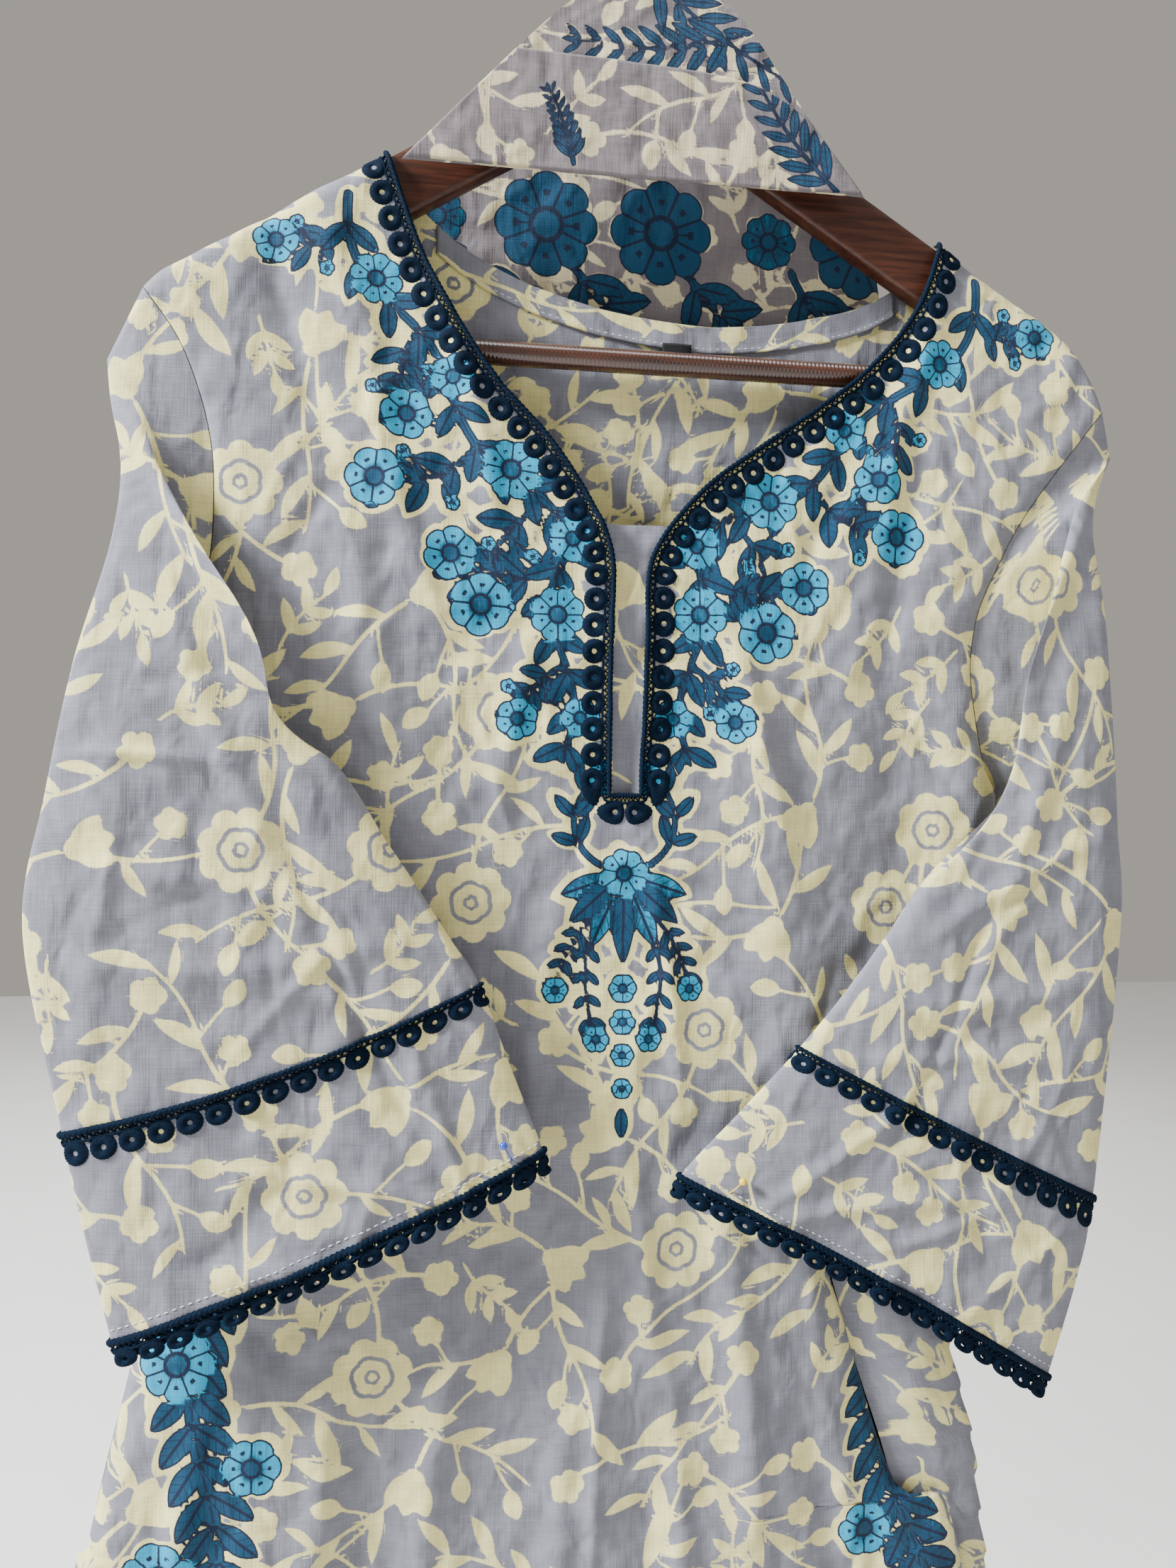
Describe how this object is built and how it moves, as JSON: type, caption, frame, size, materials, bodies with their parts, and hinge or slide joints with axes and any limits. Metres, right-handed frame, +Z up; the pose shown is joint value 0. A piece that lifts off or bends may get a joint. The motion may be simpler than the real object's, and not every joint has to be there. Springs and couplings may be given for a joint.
{
  "type": "kameez and dupatta on a wooden clothes hanger",
  "caption": "Printed cotton kameez with lace trims and swung-in sleeves, its folded dupatta over the same bar hanger, held up by the hook.",
  "frame": {"origin": "inner top of the hanger's hook, where it rests on a rail", "axes": "+Z up along the garment's length, the front of the garment faces -Y, +X to the right as seen from the front"},
  "size_m": [0.5022, 0.0698, 1.1689],
  "materials": {
    "kameez_cotton": "plain-weave cotton, lilac grey with a printed ground of pale flowers and teal motifs",
    "dupatta_cotton": "thin crinkled cotton voile, brown grey with soft teal and cream print",
    "navy_lace": "corded navy cotton lace, matt",
    "label_tape": "plain black woven tape",
    "hanger_wood": "dark brown lacquered wood, glossy",
    "hook_steel": "bright plated steel wire"
  },
  "bodies": {
    "root": {"hanger_arms": "hanger_wood", "hanger_bar": "hanger_wood", "hanger_hook": "hook_steel", "kameez_front": "kameez_cotton", "kameez_back": "kameez_cotton", "back_neck_facing": "kameez_cotton", "slit_placket": "kameez_cotton", "sleeve_left": "kameez_cotton", "sleeve_right": "kameez_cotton", "neck_lace": "navy_lace", "sleeve_left_upper_lace": "navy_lace", "sleeve_left_hem_lace": "navy_lace", "sleeve_right_upper_lace": "navy_lace", "sleeve_right_hem_lace": "navy_lace", "size_label": "label_tape", "dupatta_front": "dupatta_cotton", "dupatta_front_band": "dupatta_cotton", "dupatta_back": "dupatta_cotton", "dupatta_gather": "dupatta_cotton"}
  },
  "joints": []
}
